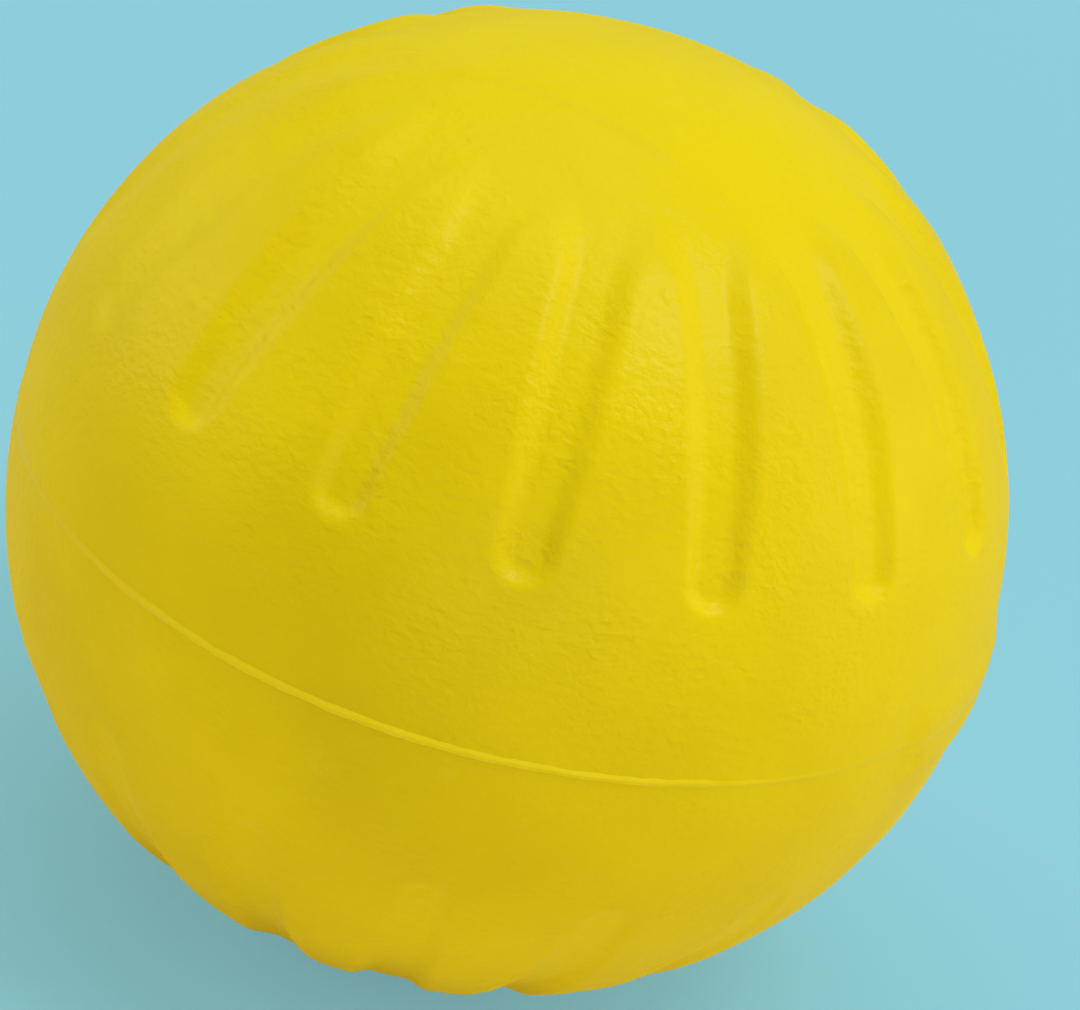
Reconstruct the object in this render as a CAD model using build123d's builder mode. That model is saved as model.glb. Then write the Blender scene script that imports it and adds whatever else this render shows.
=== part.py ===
from build123d import *
from math import acos, atan2, cos, degrees, hypot, pi, radians, sin, tan
import os

os.makedirs("parts", exist_ok=True)

# Moulded foam ball, +Z along the moulding axis, origin at the centre, seam in the plane z = 0.
# Each half has a smooth belt next to the seam. Ribs run from the belt towards the pole and taper
# to rounded tips. The flutes between them open into a polar cap that lies as low as their floors.

# Driving dimensions, in millimetres and degrees
ball_diameter = 150.0  # over the belt and the ribs
flute_count = 16  # in each half
flute_depth = 2.0  # from the ribs down to the flutes and the cap
flute_floor_width = 6.0  # between the feet of a flute's two walls
flute_end_latitude = 20.0  # middle of the wall that closes a flute near the seam
rib_tip_width = 5.6  # where a tapering rib ends
rib_tip_round = 2.4  # corners of a rib's tip, seen from outside
wall_lean = 45.0  # between every wall and the radial direction
rim_round = 1.8  # top edges of the ribs
foot_round = 1.8  # feet of the walls
skin_thickness = 2.0  # under the flutes, where the skin is thinnest
bond_gap = 0.1  # bond line between the skins and the core
bead_width = 1.2  # seam bead, along the skin
bead_height = 0.6  # seam bead, above the skin
bead_root = 1.0  # seam bead, below the skin
bead_fit = 0.05  # knit line between the bead and the skins

# Radii of the ribs, the middle of the walls, the floors, the inside of the skins and the core
rib_radius = ball_diameter / 2
middle_radius = rib_radius - flute_depth / 2
floor_radius = rib_radius - flute_depth
cavity_radius = floor_radius - skin_thickness
core_radius = cavity_radius - bond_gap

# Walls and roundings
lean_run = tan(radians(wall_lean))  # how far a wall leans for each millimetre of height
wall_length = flute_depth / cos(radians(wall_lean))
setback = tan(radians(90 - wall_lean) / 2)  # what a rounding takes of a wall, for each millimetre
longest_setback = 0.45 * wall_length
tip_round = min(rib_tip_round, 0.45 * rib_tip_width)
rim_round_fitted = min(rim_round, longest_setback / setback, 0.4 * rib_tip_width / setback)
foot_round_fitted = min(foot_round, longest_setback / setback, 0.4 * flute_floor_width / setback)

# Cutters reach past the ribs and below the floors, which are then filled again
cut_high = rib_radius + flute_depth
cut_low = floor_radius - flute_depth / 4

near = flute_depth / 100  # two radii closer than this are the same
dome = (Align.CENTER, Align.CENTER, Align.MIN)  # a half ball standing on the seam's plane


def half_width(radius):
    """Half of a flute's width where its walls are this far from the ball's centre."""
    return flute_floor_width / 2 + (radius - floor_radius) * lean_run


# Latitudes of the flutes' rounded ends and of the ribs' tips
end_latitude = flute_end_latitude + degrees(half_width(middle_radius) / middle_radius)
pitch_at_seam = 2 * pi * rib_radius / flute_count
tip_latitude = degrees(acos((rib_tip_width + 2 * half_width(rib_radius)) / pitch_at_seam))
wall_spread = degrees(flute_depth * lean_run / middle_radius)
flute_run = tip_latitude + 2 * wall_spread - end_latitude


def radius_of(point):
    """Distance of a point from the ball's centre."""
    return hypot(point.X, point.Y, point.Z)


def latitude_of(point):
    """Latitude of a point, in degrees from the seam."""
    return degrees(atan2(point.Z, hypot(point.X, point.Y)))


def lies_on(radius):
    """Test for edges on the sphere of this radius that end neither at the seam nor at the pole."""

    def on_sphere(point):
        inside_half = near < point.Z and near < hypot(point.X, point.Y)
        return inside_half and abs(radius_of(point) - radius) < near

    return lambda edge: all(on_sphere(vertex) for vertex in edge.vertices())


def is_tip_corner(edge):
    """Whether an edge runs down a corner of a rib's tip, from the rib to the cap."""
    radii = sorted(radius_of(vertex) for vertex in edge.vertices())
    down_wall = abs(radii[0] - floor_radius) < near and abs(radii[-1] - rib_radius) < near
    return down_wall and latitude_of(edge @ 0.5) > tip_latitude - wall_spread


# Flute cutter: a channel along the meridian at +X, with leaning walls and a rounded end
end_radial = Vector(cos(radians(end_latitude)), 0, sin(radians(end_latitude)))
end_north = Vector(-sin(radians(end_latitude)), 0, cos(radians(end_latitude)))
end_plane = Plane(origin=(0, 0, 0), x_dir=end_radial, z_dir=end_north)
with BuildPart() as flute:
    with BuildSketch(end_plane):
        with BuildLine():
            Polyline(
                (cut_low, half_width(cut_low)),
                (cut_high, half_width(cut_high)),
                (cut_high, -half_width(cut_high)),
                (cut_low, -half_width(cut_low)),
                close=True,
            )
        make_face()
    revolve(axis=Axis((0, 0, 0), (0, -1, 0)), revolution_arc=flute_run)
    with BuildSketch(end_plane):
        with BuildLine():
            Polyline(
                (cut_low, 0),
                (cut_low, half_width(cut_low)),
                (cut_high, half_width(cut_high)),
                (cut_high, 0),
                close=True,
            )
        make_face()
    revolve(axis=Axis((0, 0, 0), -end_radial), revolution_arc=180)

# Cap cutter: all that lies above the leaning wall at the ribs' tips
tip_radial = Vector(cos(radians(tip_latitude)), sin(radians(tip_latitude)))
tip_north = Vector(-tip_radial.Y, tip_radial.X)
up_the_wall = tip_radial - tip_north * lean_run
wall_middle = tip_radial * middle_radius
cap_foot = wall_middle + up_the_wall * (cut_low - middle_radius)
cap_rim = wall_middle + up_the_wall * (cut_high - middle_radius)
with BuildPart() as cap:
    with BuildSketch(Plane.XZ):
        with BuildLine():
            Polyline(
                (0, cap_foot.Y),
                (cap_foot.X, cap_foot.Y),
                (cap_rim.X, cap_rim.Y),
                (cap_rim.X, cut_high),
                (0, cut_high),
                close=True,
            )
        make_face()
    revolve(axis=Axis.Z)

# Seam bead: a low rounded bead with a wedge-shaped root between the two skins
with BuildPart() as seam_bead:
    with BuildSketch(Plane.XZ) as bead_section:
        with BuildLine():
            Polyline(
                (rib_radius, -bead_width / 2),
                (rib_radius - bead_root, 0),
                (rib_radius, bead_width / 2),
            )
            ThreePointArc(
                (rib_radius, bead_width / 2),
                (rib_radius + bead_height, 0),
                (rib_radius, -bead_width / 2),
            )
        make_face()
    revolve(axis=Axis.Z)
seam_bead.part.label = "seam_bead"

# Seat of the bead, cut from both skins
with BuildPart() as bead_seat:
    with BuildSketch(Plane.XZ):
        add(bead_section.sketch_local)
        offset(amount=bead_fit, kind=Kind.INTERSECTION)
    revolve(axis=Axis.Z)

# Upper skin: a half ball cut down to ribs and belt, filled up to the floors, rounded and hollowed
with BuildPart() as upper_skin:
    Sphere(rib_radius, arc_size1=0, align=dome)
    with PolarLocations(0, flute_count):
        add(flute.part, mode=Mode.SUBTRACT)
    add(cap.part, mode=Mode.SUBTRACT)
    Sphere(floor_radius, arc_size1=0, align=dome)
    fillet(upper_skin.edges().filter_by(is_tip_corner), tip_round)
    fillet(upper_skin.edges().filter_by(lies_on(rib_radius)), rim_round_fitted)
    fillet(upper_skin.edges().filter_by(lies_on(floor_radius)), foot_round_fitted)
    Sphere(cavity_radius, arc_size1=0, align=dome, mode=Mode.SUBTRACT)
    add(bead_seat.part, mode=Mode.SUBTRACT)
upper_skin.part.label = "upper_skin"

# Lower skin: the same moulding turned over, with its flutes in line with the upper ones
with BuildPart() as lower_skin:
    add(upper_skin.part)
    mirror(about=Plane.XY, mode=Mode.REPLACE)
lower_skin.part.label = "lower_skin"

# Foam core
with BuildPart() as foam_core:
    Sphere(core_radius)
foam_core.part.label = "foam_core"

export_step(upper_skin.part, "parts/upper_skin.step")
export_step(lower_skin.part, "parts/lower_skin.step")
export_step(seam_bead.part, "parts/seam_bead.step")
export_step(foam_core.part, "parts/foam_core.step")
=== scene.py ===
from math import cos, pi, radians, sin

import bmesh
import bpy
import numpy as np
from mathutils import Matrix, Vector, noise


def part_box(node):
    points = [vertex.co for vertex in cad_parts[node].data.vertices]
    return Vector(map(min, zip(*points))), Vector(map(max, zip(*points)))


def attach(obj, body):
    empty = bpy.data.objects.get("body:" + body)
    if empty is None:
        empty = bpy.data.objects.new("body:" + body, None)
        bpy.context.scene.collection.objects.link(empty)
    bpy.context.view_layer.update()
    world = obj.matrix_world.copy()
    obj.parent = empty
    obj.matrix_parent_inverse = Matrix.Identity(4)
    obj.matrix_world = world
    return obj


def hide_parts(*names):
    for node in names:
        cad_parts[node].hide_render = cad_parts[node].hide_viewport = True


# A moulded foam dodgeball: two fluted skins, the flash along their seam and the foam core inside.
# Sizes are in metres. A place on the ball is a latitude from the seam and a longitude from +X.

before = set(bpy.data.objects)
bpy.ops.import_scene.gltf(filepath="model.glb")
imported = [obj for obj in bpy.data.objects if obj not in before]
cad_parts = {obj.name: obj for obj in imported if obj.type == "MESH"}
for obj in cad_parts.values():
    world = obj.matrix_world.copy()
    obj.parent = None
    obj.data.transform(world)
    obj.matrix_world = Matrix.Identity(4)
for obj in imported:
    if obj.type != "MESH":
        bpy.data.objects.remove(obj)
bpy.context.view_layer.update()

MM = 0.001

# Sizes that the frame gives
RIB_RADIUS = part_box("upper_skin")[1].x
CAP_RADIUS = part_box("upper_skin")[1].z
CORE_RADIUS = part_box("foam_core")[1].x
BEAD_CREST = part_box("seam_bead")[1].x - RIB_RADIUS
BEAD_HALF_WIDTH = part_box("seam_bead")[1].z
FLUTE_DEPTH = RIB_RADIUS - CAP_RADIUS

# Ribs and flutes
FLUTE_COUNT = 16  # in each half
FLUTE_HALF_WIDTH = 4.0 * MM  # from the middle of a flute to the middle of its wall
END_HALF_WIDTH = 3.4 * MM  # the same at its end near the seam
FLUTE_END_LATITUDE = radians(20.0)  # middle of the wall that closes a flute near the seam
FULL_WIDTH_LATITUDE = radians(38.0)  # from here on a flute has its full width
TIP_LATITUDE = radians(60.5)  # middle of the slope at a rib's tip
TIP_ROUND = 3.4 * MM  # corners of a rib's tip, seen from outside
TIP_SLOPE = 0.4  # a rib's tip slopes less than its sides
WALL_HALF_WIDTH = 2.1 * MM
END_WALL_SHARE = 0.65  # the wall that closes a flute is steeper than its sides
UPPER_DEPTH = 1.7 * MM  # of the upper flutes
LOWER_END_SHARE = 0.25  # the lower flutes start with this share of the solids' depth near the seam
LOWER_FULL_LATITUDE = radians(54.0)  # and would have all of it here
CAP_DEPTH = 1.0 * MM  # all flutes grow shallower towards the cap
CAP_RISE = radians(49.0), radians(62.0)  # between these latitudes
FAINT_LONGITUDE = radians(-168.0)  # here the flutes are shallower and softer
FAINT_SPREAD = radians(30.0)
FAINT_SHARE = 0.7  # of their depth is lost at the faintest

# Unevenness of the foam
LUMPS = ((34 * MM, 0.22 * MM, 0.0), (13 * MM, 0.10 * MM, 3.7))  # size, height and shift in the noise
WRINKLE_LENGTH = 2.6 * MM  # along a meridian
WRINKLE_WIDTH = 8.0 * MM
WRINKLE_HEIGHT = 0.10 * MM
WRINKLE_SHIFT = 9.1  # in the noise
WRINKLE_REACH = 5.0 * MM  # the wrinkles die away over this distance from a flute's wall
WRINKLE_START = radians(16.0), radians(26.0)  # and fade in between these latitudes

# The ball isn't quite round. Waves in its outline: how many, how high, and the angle of one crest,
# clockwise from the right as the camera sees it.
OUTLINE_WAVES = (
    (2, 0.39 * MM, radians(162)),
    (3, 0.30 * MM, radians(50)),
    (4, 0.27 * MM, radians(43)),
)

# Marks on the skin: the pad of the mould's gate, a nick beside it, a crease across the upper cap, pimples
GATE_PLACE = radians(-0.8), radians(-19.0)
GATE_HALF_LENGTH = 18.0 * MM
GATE_HALF_HEIGHT = 6.4 * MM
GATE_EDGE = 3.0 * MM  # half of the slope round the pad
GATE_HEIGHT = 0.9 * MM
NICK_PLACE = radians(-3.0), radians(-31.4)
CREASE_START = radians(67.9), radians(-161.5)
CREASE_MIDDLE = radians(75.6), radians(-119.8)
CREASE_END = radians(69.3), radians(-68.5)
CREASE_HALF_WIDTH = 1.3 * MM
CREASE_HEIGHT = 0.55 * MM
CREASE_RUN_OUT = 9.0 * MM  # distance over which the raised side of the crease comes down again
CREASE_FADE = 0.75, 1.15  # the crease dies away between these shares of its half length
SPOTS = (  # place, size and height
    ((radians(30.3), radians(-144.2)), 0.8 * MM, 0.22 * MM),
    ((radians(38.4), radians(-55.5)), 0.7 * MM, 0.18 * MM),
    (NICK_PLACE, 1.6 * MM, -0.55 * MM),
)

# Seam
BOND_GAP = 0.1 * MM  # between the skins and the core
SEAM_GAP = 0.02 * MM  # between a skin's edge and the plane of the seam
SEAM_VALLEY = 0.3 * MM  # how far the skins' edges turn in under the flash
SEAM_ROWS = 0.0, 0.3 * MM, 0.42 * MM  # distances of the first rows of points from the seam

# Flash along the seam. A noise is a list of amounts, each with the size of its features and a shift.
BEAD_SINK = 0.04 * MM  # the flash runs out this far below the skin
BEAD_WIDTH_SHARE = 1.2  # of the solid bead's width
BEAD_HEIGHT_SHARE = 0.62  # of the solid bead's height
BEAD_PROFILE_POWER = 3  # the higher, the flatter it runs out
BEAD_WANDER = ((0.14 * MM, 9.0 * MM, 0), (0.13 * MM, 2.4 * MM, 3))
BEAD_WIDTH_NOISE = ((0.35, 3.0 * MM, 5),)
BEAD_HEIGHT_NOISE = ((0.2, 5.0 * MM, 7), (0.14, 1.7 * MM, 9))
BEAD_LOW_SHARE = 0.15  # what is left of its height where it is trimmed low
BEAD_LOW_PLACES = (  # longitude, and how far from there the flash starts to grow and is whole
    (GATE_PLACE[1], radians(25.0), radians(62.0)),
    (radians(-165.0), radians(15.0), radians(46.0)),
)

# Foam core
CORE_DENT = 0.15 * MM
CORE_DENT_SIZE = 6.0 * MM

# Mesh density
COLUMNS_PER_FLUTE = 36
FEWEST_COLUMNS = 18  # in the rings next to a pole
ROW_STEP = 0.7 * MM
COLUMN_STEP = 0.6 * ROW_STEP  # columns that would come closer than this are halved in number
CAVITY_ROWS = 18
CAVITY_COLUMNS = 36
CAVITY_DOUBLINGS = 4  # rows next to the seam in which the columns double, to meet those outside
BEAD_STEPS = 1080
BEAD_PROFILE_STEPS = 12
CORE_ROWS = 60
CORE_COLUMNS = 120

# The photograph, in pixels, and the camera that took it
PHOTO_WIDTH = 1080
PHOTO_HEIGHT = 1010
BALL_PIXEL = 508.9, 500.4  # the ball's middle
BALL_PIXEL_RADIUS = 501.0
CAMERA_DISTANCE = 750 * MM
CAMERA_AZIMUTH = radians(-3.6)
CAMERA_ELEVATION = radians(27.7)
CAMERA_ROLL = radians(16.3)
SENSOR_WIDTH = 36.0  # in millimetres

# Colours and finish. Textures are scaled per millimetre.
NOISE_RANGE = 0.3, 0.7  # where most values of a noise texture lie
SKIN_DEEP = (0.70, 0.54, 0.0, 1)
SKIN_BRIGHT = (0.77, 0.605, 0.0, 1)
# Painted light: a lighter yellow in the flutes, which lifts the shade that falls in them
FLUTE_PAINTED_LIGHT = (0.76, 0.60, 0.0, 1)
SKIN_FILM = (0.78, 0.63, 0.03, 1)
FLUTE_LIGHT_SHARE = 0.5  # how much of the painted light a flute takes
FILM_RANGE = 0.6, 0.8  # values of the film's noise between which it appears
FILM_SHARE = 0.25
GRAIN_STRETCH = (1, 1, 1.5)  # the grain is wider than high
GRAIN_HEIGHT = 0.44 * MM
GRAIN_STRENGTH = 0.65, 0.75  # away from a flute's walls and beside them
PATCH_RANGE = 0.42, 0.62  # values of the patches' noise between which the grain grows
PATCH_STRENGTH = 0.45, 1.0
SKIN_ROUGHNESS = 0.58, 0.68
SKIN_SHEEN = (1, 0.85, 0.25, 1)
# The flash's colours: two yellows of a painted highlight along the seam, brighter than the skin, and a
# plainer yellow where the flash is trimmed low
FLASH_HIGHLIGHT_DEEP = (0.76, 0.595, 0.002, 1)
FLASH_HIGHLIGHT_BRIGHT = (0.82, 0.66, 0.012, 1)
FLASH_TRIMMED = (0.73, 0.57, 0.0, 1)
FLASH_GRAIN_HEIGHT = 0.1 * MM
FLASH_ROUGHNESS = 0.4, 0.52
FLASH_TINT = (1, 1, 0.45, 1)
CELL_RANGE = 0.1, 0.7  # from the middle of a foam cell to its edge
# Painted shade: the middles of the cells are darker, for the shade in their hollows
CELL_PAINTED_SHADE = (0.55, 0.43, 0.05, 1)
CELL_EDGE = (0.80, 0.68, 0.16, 1)
CELL_DEPTH = 0.4 * MM
CELL_ROUGHNESS = 0.95, 0.8

# Soft lamps: direction to the camera's right, up and back, width and height, power in watts and colour
LAMP_DISTANCE = 1.3
NEUTRAL = (1.0, 1.0, 1.0)
WARM = (1.0, 0.97, 0.93)
WARMER = (1.0, 0.95, 0.88)
LAMPS = {
    "lamp_top": ((0.1, 0.9, 0.35), (1.1, 1.1), 5.3, NEUTRAL),
    "lamp_key": ((0.55, 0.6, 0.57), (0.5, 0.5), 5.2, NEUTRAL),
    "lamp_window": ((0.8, 0.53, 0.3), (1.5, 0.6), 1.9, NEUTRAL),
    "lamp_right": ((0.93, 0.0, 0.08), (1.0, 1.0), 3.1, NEUTRAL),
    "lamp_left": ((-0.8, 0.58, -0.05), (1.0, 0.7), 3.8, WARM),
    "lamp_low_left": ((-0.85, 0.3, 0.35), (0.8, 0.8), 0.8, WARM),
    "lamp_front": ((0.2, -0.32, 0.93), (1.4, 0.6), 3.0, WARMER),
}

# World and floor. Each has one colour for the rays that show it and another for the light that it gives.
WORLD_SEEN = (0.283, 0.645, 0.753, 1)
WORLD_LIGHT = (1, 1, 1, 1)
WORLD_STRENGTH = 0.34
FLOOR_SEEN = (0.26, 0.59, 0.69, 1)
FLOOR_LIGHT = (0.92, 0.82, 0.62, 1)
FLOOR_SIZE = 8.0
FLOOR_FADE = 0.2, 0.7  # the floor fades into the world between these distances
FLOOR_CLEAR_SHARE = 0.45  # and is this clear even at the ball, so that its shadow stays light


def camera_axes():
    """The camera's right, up and back directions."""
    flat = cos(CAMERA_ELEVATION)
    back = Vector((sin(CAMERA_AZIMUTH) * flat, -cos(CAMERA_AZIMUTH) * flat, sin(CAMERA_ELEVATION)))
    level = Vector((0, 0, 1)).cross(back).normalized()
    pole = back.cross(level)
    right = level * cos(CAMERA_ROLL) + pole * sin(CAMERA_ROLL)
    return right, back.cross(right), back


def smooth_step(low, high, value):
    """0 below low, 1 above high, and a smooth climb between them."""
    t = np.clip((value - low) / (high - low), 0, 1)
    return t * t * (3 - 2 * t)


def direction(latitude, longitude):
    """Unit vectors at these latitudes and longitudes, as rows."""
    flat = np.cos(latitude)
    return np.stack((flat * np.cos(longitude), flat * np.sin(longitude), np.sin(latitude)), axis=-1)


def noise_at(points, size, shift=0.0):
    """Perlin noise from about -1 to 1, with features of this size."""
    offset = Vector((shift, shift, shift))
    return np.array([noise.noise(Vector(point) / size + offset) for point in points])


def angle_between(longitude, place):
    """Difference of two longitudes, between -pi and pi."""
    return np.angle(np.exp(1j * (longitude - place)))


def wall_distance(latitude, longitude):
    """Distance into the nearest rib from the middle of its wall, negative in the flutes and on the cap."""
    pitch = 2 * pi / FLUTE_COUNT
    away = longitude - pitch * np.round(longitude / pitch)
    north = np.abs(latitude)

    # A flute is a channel along a meridian with a round end, and grows wider away from the seam
    end_centre = FLUTE_END_LATITUDE + END_HALF_WIDTH / RIB_RADIUS
    widening = smooth_step(end_centre, FULL_WIDTH_LATITUDE, north)
    half_width = END_HALF_WIDTH + (FLUTE_HALF_WIDTH - END_HALF_WIDTH) * widening
    side = RIB_RADIUS * np.arcsin(np.cos(north) * np.sin(away))
    along = RIB_RADIUS * (np.arctan2(np.sin(north), np.cos(north) * np.cos(away)) - end_centre)
    from_flute = np.hypot(side, np.minimum(along, 0)) - half_width

    # A rib's tip is where the cap begins, with round corners between the cap and the flutes
    from_cap = TIP_SLOPE * RIB_RADIUS * (TIP_LATITUDE - north)
    corner = np.hypot(np.maximum(TIP_ROUND - from_flute, 0), np.maximum(TIP_ROUND - from_cap, 0))
    return np.maximum(TIP_ROUND, np.minimum(from_flute, from_cap)) - corner


def recess_depth(latitude, faint):
    """How far the flutes and the caps lie below the ribs."""
    growth = smooth_step(FLUTE_END_LATITUDE, LOWER_FULL_LATITUDE, -latitude)
    lower_depth = FLUTE_DEPTH * (LOWER_END_SHARE + (1 - LOWER_END_SHARE) * growth)
    depth = np.where(latitude > 0, UPPER_DEPTH, lower_depth) * (1 - faint)
    return depth + (CAP_DEPTH - depth) * smooth_step(*CAP_RISE, np.abs(latitude))


def faintness(longitude):
    """How much the flutes fade at these longitudes, from 0 to FAINT_SHARE."""
    away = angle_between(longitude, FAINT_LONGITUDE)
    return FAINT_SHARE * np.exp(-((away / FAINT_SPREAD) ** 2))


def out_of_round(points):
    """Height of the waves in the ball's outline, which die away towards the camera and away from it."""
    right, up = camera_axes()[:2]
    place = (points @ np.array(right) - 1j * (points @ np.array(up))) / RIB_RADIUS
    waves = 0
    for count, height, crest in OUTLINE_WAVES:
        waves = waves + height * (place**count * np.exp(-1j * count * crest)).real
    return waves


def gate_mark(latitude, longitude):
    """Height of the long, low pad that the mould's gate left on the seam."""
    along = RIB_RADIUS * np.cos(latitude) * np.sin(longitude - GATE_PLACE[1])
    across = RIB_RADIUS * (latitude - GATE_PLACE[0])
    on_this_side = np.cos(longitude - GATE_PLACE[1]) > 0
    length = 1 - smooth_step(GATE_HALF_LENGTH - GATE_EDGE, GATE_HALF_LENGTH + GATE_EDGE, np.abs(along))
    height = 1 - smooth_step(GATE_HALF_HEIGHT - GATE_EDGE, GATE_HALF_HEIGHT + GATE_EDGE, np.abs(across))
    return GATE_HEIGHT * length * height * on_this_side


def cap_crease(latitude, longitude):
    """Height of the step along the crease, which lies on the circle through its start, middle and end."""
    start, middle, end = (direction(*place) for place in (CREASE_START, CREASE_MIDDLE, CREASE_END))
    across = np.cross(middle - start, end - start)
    across /= np.linalg.norm(across)
    from_middle = RIB_RADIUS * (direction(latitude, longitude) - middle)
    past = from_middle @ across
    half_length = RIB_RADIUS * np.linalg.norm(end - start) / 2
    along = np.linalg.norm(from_middle, axis=-1) / half_length
    step = smooth_step(-CREASE_HALF_WIDTH, CREASE_HALF_WIDTH, past)
    run_out = np.exp(-((np.maximum(past, 0) / CREASE_RUN_OUT) ** 2))
    return CREASE_HEIGHT * step * run_out * (1 - smooth_step(*CREASE_FADE, along))


def spot_marks(latitude, longitude):
    """Height of the pimples and the nick."""
    marks = 0
    for place, size, height in SPOTS:
        cosine = direction(latitude, longitude) @ direction(*place)
        away = RIB_RADIUS * np.arccos(np.clip(cosine, -1, 1))
        marks = marks + height * np.exp(-((away / size) ** 2))
    return marks


def skin_surface(latitude, longitude):
    """Outer radius of the skin and, both from 0 to 1, how deep in a flute and how close to a wall it lies."""
    north = np.abs(latitude)
    points = direction(latitude, longitude) * RIB_RADIUS
    distance = wall_distance(latitude, longitude)
    faint = faintness(longitude)
    past_end = smooth_step(FLUTE_END_LATITUDE, FULL_WIDTH_LATITUDE, north)
    wall = WALL_HALF_WIDTH * (1 + faint) * (END_WALL_SHARE + (1 - END_WALL_SHARE) * past_end)
    recess = 1 - smooth_step(-wall, wall, distance)
    beside_wall = np.exp(-((distance / WRINKLE_REACH) ** 2)) * smooth_step(*WRINKLE_START, north)

    radius = RIB_RADIUS - recess_depth(latitude, faint) * recess + out_of_round(points)
    for size, height, shift in LUMPS:
        radius = radius + height * noise_at(points, size, shift)
    stretched = points * (1, 1, WRINKLE_WIDTH / WRINKLE_LENGTH)
    radius = radius + WRINKLE_HEIGHT * beside_wall * noise_at(stretched, WRINKLE_WIDTH, WRINKLE_SHIFT)
    radius = radius + gate_mark(latitude, longitude) + cap_crease(latitude, longitude)
    return radius + spot_marks(latitude, longitude), recess, beside_wall


class MeshRings:
    """Collects rings of points and joins each to the one before with faces."""

    def __init__(self):
        self.points = []
        self.faces = []
        self.values = {}
        self.first = None
        self.last = None

    def add(self, points, **values):
        """Adds a ring, with values for each of its points, and joins it to the ring before."""
        start = len(self.points)
        self.points.extend(tuple(point) for point in points)
        for name, numbers in values.items():
            self.values.setdefault(name, []).extend(float(number) for number in numbers)
        ring = list(range(start, start + len(points)))
        if self.last:
            self.join(self.last, ring)
        else:
            self.first = ring
        self.last = ring

    def join(self, old, new):
        """Faces between two rings of the same count, or of which one has half as many points."""
        if len(old) == len(new):
            for k in range(len(old)):
                self.faces.append((old[k - 1], old[k], new[k], new[k - 1]))
            return
        # Three triangles between each stretch of the coarse ring and two of the fine one
        flip = len(old) < len(new)
        fine, coarse = (new, old) if flip else (old, new)
        for k in range(len(coarse)):
            a, b, c = fine[2 * k - 2], fine[2 * k - 1], fine[2 * k]
            d, e = coarse[k - 1], coarse[k]
            for face in ((a, b, d), (b, e, d), (b, c, e)):
                self.faces.append(face[::-1] if flip else face)

    def close(self, ring, point, **values):
        """Closes a ring with a fan of faces to one point."""
        tip = len(self.points)
        self.points.append(tuple(point))
        for name, number in values.items():
            self.values[name].append(float(number))
        for k in range(len(ring)):
            self.faces.append((ring[k - 1], ring[k], tip))

    def build(self, name):
        """The object with this mesh, shaded smooth, with its faces turned outwards."""
        mesh = bpy.data.meshes.new(name)
        mesh.from_pydata(self.points, [], self.faces)
        solid = bmesh.new()
        solid.from_mesh(mesh)
        bmesh.ops.recalc_face_normals(solid, faces=solid.faces)
        solid.to_mesh(mesh)
        solid.free()
        for value, numbers in self.values.items():
            mesh.attributes.new(value, "FLOAT", "POINT").data.foreach_set("value", numbers)
        mesh.shade_smooth()
        thing = bpy.data.objects.new(name, mesh)
        bpy.context.scene.collection.objects.link(thing)
        return thing


def ring_columns(latitude):
    """Columns in a ring on the outside of a skin, halved as often as keeps them from crowding."""
    columns = FLUTE_COUNT * COLUMNS_PER_FLUTE
    around = 2 * pi * RIB_RADIUS * cos(latitude)
    while columns > FEWEST_COLUMNS and around / columns < COLUMN_STEP:
        columns //= 2
    return columns


def make_skin(name, side):
    """Half of the ball's skin as a closed shell: side is 1 for the upper half and -1 for the lower."""
    rings = MeshRings()

    # Inside, from the pole down to the seam
    cavity = CORE_RADIUS + BOND_GAP
    columns = CAVITY_COLUMNS
    for k in range(1, CAVITY_ROWS + 1):
        if k > CAVITY_ROWS - CAVITY_DOUBLINGS:
            columns *= 2
        latitude = pi / 2 * (1 - k / CAVITY_ROWS)
        longitude = np.arange(columns) * 2 * pi / columns
        points = direction(np.full(columns, side * latitude), longitude) * cavity
        if k == CAVITY_ROWS:
            points[:, 2] = side * SEAM_GAP
        rings.add(points, recess=[0] * columns, beside_wall=[0] * columns)

    # Outside, from the seam up to the pole
    count = int(RIB_RADIUS * pi / 2 / ROW_STEP)
    rows = [distance / RIB_RADIUS for distance in SEAM_ROWS]
    rows += [pi / 2 * k / count for k in range(1, count)]
    for k, latitude in enumerate(rows):
        columns = max(ring_columns(latitude), len(rings.last) // 2)
        longitude = np.arange(columns) * 2 * pi / columns
        level = np.full(columns, side * latitude)
        radius, recess, beside_wall = skin_surface(level, longitude)
        points = direction(level, longitude) * radius[:, None]
        if k == 0:
            points *= 1 - SEAM_VALLEY / RIB_RADIUS
            points[:, 2] = side * SEAM_GAP
        rings.add(points, recess=recess, beside_wall=beside_wall)

    # Both poles
    top, recess, beside_wall = skin_surface(np.array([side * pi / 2]), np.array([0.0]))
    rings.close(rings.last, (0, 0, side * top[0]), recess=recess[0], beside_wall=beside_wall[0])
    rings.close(rings.first[::-1], (0, 0, side * cavity), recess=0, beside_wall=0)
    return rings.build(name)


def bead_growth(longitude):
    """How tall the flash is at this longitude: 0 where it is trimmed low, and 1 away from there."""
    growth = 1.0
    for place, low, full in BEAD_LOW_PLACES:
        growth = min(growth, smooth_step(low, full, abs(angle_between(longitude, place))))
    return growth


def bead_noise(place, amounts):
    """Sum of noises along the flash."""
    return sum(amount * noise.noise(place / size + Vector((0, 0, shift))) for amount, size, shift in amounts)


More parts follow.
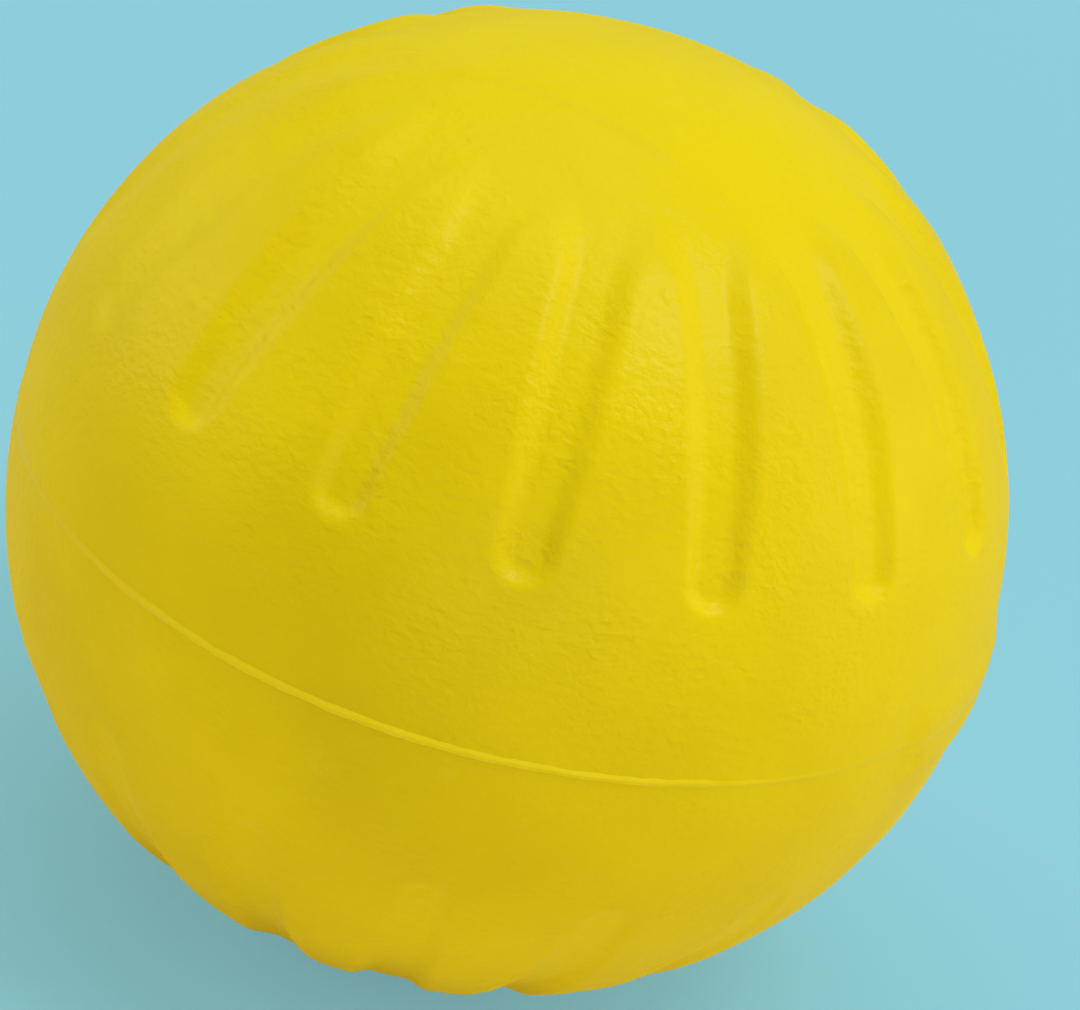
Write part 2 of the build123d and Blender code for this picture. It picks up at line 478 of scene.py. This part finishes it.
def make_bead(name):
    """The flash along the seam: a low uneven ridge that runs out onto the skin, on a wedge-shaped root."""
    # A profile at each step round the seam: the root, then from the upper edge over the crest and down
    loops = []
    grown = []
    for k in range(BEAD_STEPS):
        longitude = 2 * pi * k / BEAD_STEPS
        around = Vector((cos(longitude), sin(longitude), 0))
        place = around * RIB_RADIUS
        growth = bead_growth(longitude)
        wander = bead_noise(place, BEAD_WANDER)
        width = BEAD_HALF_WIDTH * (BEAD_WIDTH_SHARE + bead_noise(place, BEAD_WIDTH_NOISE))
        height = BEAD_CREST * (BEAD_HEIGHT_SHARE + bead_noise(place, BEAD_HEIGHT_NOISE))
        crest = height * (BEAD_LOW_SHARE + (1 - BEAD_LOW_SHARE) * growth)
        base = skin_surface(np.array([0.0]), np.array([longitude]))[0][0]
        loop = [around * (base - SEAM_VALLEY) + Vector((0, 0, wander))]
        for angle in np.linspace(0, pi, BEAD_PROFILE_STEPS):
            out = base - BEAD_SINK + (crest + BEAD_SINK) * sin(angle) ** BEAD_PROFILE_POWER
            loop.append(around * out + Vector((0, 0, wander + width * cos(angle))))
        loops.append(loop)
        grown.append(growth)

    # Rings round the ball, each through the same point of every profile
    rings = MeshRings()
    for ring in zip(*loops):
        rings.add(ring, grown=grown)
    rings.join(rings.last, rings.first)
    return rings.build(name)


def make_core(name):
    """The foam body inside the skins, a little uneven as foam is."""
    rings = MeshRings()
    longitude = np.arange(CORE_COLUMNS) * 2 * pi / CORE_COLUMNS
    for k in range(1, CORE_ROWS):
        latitude = np.full(CORE_COLUMNS, pi / 2 - pi * k / CORE_ROWS)
        points = direction(latitude, longitude) * CORE_RADIUS
        dents = CORE_DENT * (1 + noise_at(points, CORE_DENT_SIZE))
        rings.add(points * (1 - dents / CORE_RADIUS)[:, None])
    rings.close(rings.last, (0, 0, CORE_DENT - CORE_RADIUS))
    rings.close(rings.first[::-1], (0, 0, CORE_RADIUS - CORE_DENT))
    return rings.build(name)


class Nodes:
    """The node tree of a material or of the world, with short calls to add nodes and join them."""

    def __init__(self, owner):
        owner.use_nodes = True
        self.tree = owner.node_tree
        self.shader = self.tree.nodes.get("Principled BSDF")

    def put(self, socket, value):
        """Sets a socket, or links an output to it."""
        if isinstance(value, bpy.types.NodeSocket):
            self.tree.links.new(value, socket)
        else:
            socket.default_value = value

    def fill(self, node, **inputs):
        """Sets or links a node's inputs, which are named with _ for each space."""
        for key, value in inputs.items():
            self.put(node.inputs[key.replace("_", " ")], value)

    def add(self, kind, settings=None, **inputs):
        """Adds a node with these settings and inputs."""
        node = self.tree.nodes.new(kind)
        for key, value in (settings or {}).items():
            setattr(node, key, value)
        self.fill(node, **inputs)
        return node

    def math(self, operation, first, second):
        """A Math node's output."""
        node = self.add("ShaderNodeMath", {"operation": operation})
        self.put(node.inputs[0], first)
        self.put(node.inputs[1], second)
        return node.outputs[0]

    def spread(self, value, source, target):
        """A Map Range node's output: the source range spread over the target range and held there."""
        node = self.add("ShaderNodeMapRange")
        for socket, number in zip(node.inputs, (value, *source, *target)):
            self.put(socket, number)
        return node.outputs[0]

    def mix(self, factor, first, second):
        """A colour Mix node's output. Its sockets for colours go by number, as others have the same names."""
        node = self.add("ShaderNodeMix", {"data_type": "RGBA"}, Factor=factor)
        self.put(node.inputs[6], first)
        self.put(node.inputs[7], second)
        return node.outputs[2]

    def stretch(self, place, factors):
        """Places with each coordinate times its own factor."""
        node = self.add("ShaderNodeVectorMath", {"operation": "MULTIPLY"}, Vector=place)
        node.inputs[1].default_value = factors
        return node.outputs[0]

    def noise(self, place, **inputs):
        """A noise texture's output."""
        return self.add("ShaderNodeTexNoise", Vector=place, **inputs).outputs["Fac"]

    def bump(self, height, **inputs):
        """A Bump node's output."""
        return self.add("ShaderNodeBump", Height=height, **inputs).outputs["Normal"]

    def attribute(self, name):
        """A mesh value's output."""
        return self.add("ShaderNodeAttribute", {"attribute_name": name}).outputs["Fac"]

    def place(self):
        """Places on the object, in metres."""
        return self.add("ShaderNodeTexCoord").outputs["Object"]

    def millimetres(self):
        """Places on the object, in millimetres."""
        scaled = self.add("ShaderNodeVectorMath", {"operation": "SCALE"}, Vector=self.place(), Scale=1 / MM)
        return scaled.outputs[0]

    def seen(self):
        """1 for the rays that show the background, and 0 for those that carry its light."""
        path = self.add("ShaderNodeLightPath").outputs
        shown = self.math("MAXIMUM", path["Is Camera Ray"], path["Is Glossy Ray"])
        return self.math("MAXIMUM", shown, path["Is Transmission Ray"])


def skin_material():
    """Satin yellow foam skin with a fine grain, in patches and a little stronger beside the flutes."""
    material = bpy.data.materials.new("foam_skin")
    nodes = Nodes(material)
    place = nodes.millimetres()

    # Colour: slow drifts, painted light in the flutes that lifts their shade, a pale worn film here and there
    drift = nodes.noise(place, Scale=0.03, Detail=3.0)
    colour = nodes.mix(nodes.spread(drift, NOISE_RANGE, (0, 1)), SKIN_DEEP, SKIN_BRIGHT)
    # Painted light: the deeper a place lies in a flute, the more of the lighter yellow it takes
    flute_light = nodes.math("MULTIPLY", nodes.attribute("recess"), FLUTE_LIGHT_SHARE)
    colour = nodes.mix(flute_light, colour, FLUTE_PAINTED_LIGHT)
    film = nodes.noise(place, Scale=0.16, Detail=6.0, Roughness=0.65)
    colour = nodes.mix(nodes.spread(film, FILM_RANGE, (0, FILM_SHARE)), colour, SKIN_FILM)

    # Grain: small pebbles that are wider than high
    pebbles = nodes.stretch(place, GRAIN_STRETCH)
    grain = nodes.noise(pebbles, Scale=0.55, Detail=2.0, Roughness=0.45, Distortion=0.3)
    patches = nodes.spread(nodes.noise(place, Scale=0.11, Detail=2.0), PATCH_RANGE, PATCH_STRENGTH)
    beside_wall = nodes.spread(nodes.attribute("beside_wall"), (0, 1), GRAIN_STRENGTH)
    bump = nodes.bump(grain, Strength=nodes.math("MULTIPLY", beside_wall, patches), Distance=GRAIN_HEIGHT)

    # Gloss: a thin satin coat over a matt base, with a warm sheen
    nodes.fill(
        nodes.shader,
        Base_Color=colour,
        Roughness=nodes.spread(grain, NOISE_RANGE, SKIN_ROUGHNESS),
        Specular_IOR_Level=0.0,
        Coat_Weight=0.18,
        Coat_Roughness=0.33,
        Coat_Normal=bump,
        Sheen_Weight=0.12,
        Sheen_Roughness=0.4,
        Sheen_Tint=SKIN_SHEEN,
        Normal=bump,
    )
    return material


def flash_material():
    """Moulding flash: smoother than the skin, with a painted highlight that is brighter where it isn't
    trimmed low.
    """
    material = bpy.data.materials.new("seam_flash")
    nodes = Nodes(material)
    place = nodes.millimetres()
    # Painted highlight: the flash's colour drifts between two yellows that are brighter than the skin
    drift = nodes.noise(place, Scale=0.25, Detail=3.0)
    colour = nodes.mix(drift, FLASH_HIGHLIGHT_DEEP, FLASH_HIGHLIGHT_BRIGHT)
    grain = nodes.noise(place, Scale=1.5, Detail=3.0)
    nodes.fill(
        nodes.shader,
        Base_Color=nodes.mix(nodes.attribute("grown"), FLASH_TRIMMED, colour),
        Roughness=nodes.spread(grain, NOISE_RANGE, FLASH_ROUGHNESS),
        Specular_IOR_Level=0.16,
        Specular_Tint=FLASH_TINT,
        Normal=nodes.bump(grain, Strength=0.3, Distance=FLASH_GRAIN_HEIGHT),
    )
    return material


def core_material():
    """Matt foam with open cells, with painted shade in their middles."""
    material = bpy.data.materials.new("open_foam")
    nodes = Nodes(material)
    cells = nodes.add("ShaderNodeTexVoronoi", Vector=nodes.millimetres(), Scale=1.1).outputs["Distance"]
    nodes.fill(
        nodes.shader,
        Base_Color=nodes.mix(nodes.spread(cells, CELL_RANGE, (0, 1)), CELL_PAINTED_SHADE, CELL_EDGE),
        Roughness=nodes.spread(cells, CELL_RANGE, CELL_ROUGHNESS),
        Normal=nodes.bump(cells, Strength=0.7, Distance=CELL_DEPTH),
    )
    return material


def dress(piece, node, material):
    """Gives a piece its material and its place in the frame, in the stead of a CAD node."""
    piece.data.materials.append(material)
    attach(piece, "root")
    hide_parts(node)


def upright(place, back, up):
    """The matrix of a camera or a lamp at this place, from the direction of its back and the view's up."""
    across = up.cross(back).normalized()
    turn = Matrix((across, back.cross(across), back)).transposed()
    return Matrix.Translation(place) @ turn.to_4x4()


def make_camera():
    """The photograph's camera, turned aside so that the ball stands where it does in the picture."""
    right, up, back = camera_axes()
    ratio = CAMERA_DISTANCE / RIB_RADIUS
    focal = BALL_PIXEL_RADIUS * (ratio**2 - 1) ** 0.5
    pixel = CAMERA_DISTANCE / focal
    aside = right * (PHOTO_WIDTH / 2 - BALL_PIXEL[0]) - up * (PHOTO_HEIGHT / 2 - BALL_PIXEL[1])
    place = back * CAMERA_DISTANCE
    camera = bpy.data.objects.new("camera", bpy.data.cameras.new("camera"))
    camera.matrix_world = upright(place, (place - aside * pixel).normalized(), up)
    camera.data.sensor_width = SENSOR_WIDTH
    camera.data.lens = focal / PHOTO_WIDTH * SENSOR_WIDTH
    bpy.context.scene.collection.objects.link(camera)
    bpy.context.scene.camera = camera


def make_lamps():
    """Large soft lamps around the ball."""
    right, up, back = camera_axes()
    for name, (aim, (width, height), power, colour) in LAMPS.items():
        lamp = bpy.data.lights.new(name, "AREA")
        lamp.shape = "RECTANGLE"
        lamp.size = width
        lamp.size_y = height
        lamp.energy = power
        lamp.color = colour
        toward = (right * aim[0] + up * aim[1] + back * aim[2]).normalized()
        holder = bpy.data.objects.new(name, lamp)
        holder.matrix_world = upright(toward * LAMP_DISTANCE, toward, up)
        bpy.context.scene.collection.objects.link(holder)


def make_world():
    """An even pale world, which gives white light."""
    world = bpy.data.worlds.new("world")
    nodes = Nodes(world)
    seen = nodes.seen()
    nodes.fill(
        world.node_tree.nodes["Background"],
        Color=nodes.mix(seen, WORLD_LIGHT, WORLD_SEEN),
        Strength=nodes.spread(seen, (0, 1), (WORLD_STRENGTH, 1)),
    )
    bpy.context.scene.world = world


def floor_material():
    """A matt floor that fades into the world with distance and can be seen through from below."""
    material = bpy.data.materials.new("floor")
    nodes = Nodes(material)
    colour = nodes.mix(nodes.seen(), FLOOR_LIGHT, FLOOR_SEEN)
    nodes.fill(nodes.shader, Base_Color=colour, Roughness=0.9, Specular_IOR_Level=0.0)
    distance = nodes.add("ShaderNodeVectorMath", {"operation": "LENGTH"}, Vector=nodes.place())
    faded = nodes.spread(distance.outputs["Value"], FLOOR_FADE, (FLOOR_CLEAR_SHARE, 1))
    below = nodes.add("ShaderNodeNewGeometry").outputs["Backfacing"]
    clear = nodes.math("MAXIMUM", faded, below)
    to_camera = nodes.add("ShaderNodeLightPath").outputs["Is Camera Ray"]
    blend = nodes.add("ShaderNodeMixShader", Fac=nodes.math("MULTIPLY", clear, to_camera))
    nodes.put(blend.inputs[1], nodes.shader.outputs[0])
    nodes.put(blend.inputs[2], nodes.add("ShaderNodeBsdfTransparent").outputs[0])
    nodes.fill(nodes.tree.nodes["Material Output"], Surface=blend.outputs[0])
    return material


def make_floor(height):
    """A plain pale floor under the ball."""
    half = FLOOR_SIZE / 2
    corners = [(-half, -half, 0), (half, -half, 0), (half, half, 0), (-half, half, 0)]
    mesh = bpy.data.meshes.new("floor")
    mesh.from_pydata(corners, [], [(0, 1, 2, 3)])
    mesh.materials.append(floor_material())
    floor = bpy.data.objects.new("floor", mesh)
    floor.location.z = height
    bpy.context.scene.collection.objects.link(floor)


# The pieces, each in the stead of a CAD node
skin = skin_material()
upper = make_skin("upper_skin_foam", 1)
lower = make_skin("lower_skin_foam", -1)
bead = make_bead("seam_flash")
core = make_core("core_foam")
dress(upper, "upper_skin", skin)
dress(lower, "lower_skin", skin)
dress(bead, "seam_bead", flash_material())
dress(core, "foam_core", core_material())

# Camera, light and floor
make_camera()
make_lamps()
make_world()
make_floor(min(vertex.co.z for vertex in lower.data.vertices))
bpy.context.scene.view_settings.view_transform = "Standard"
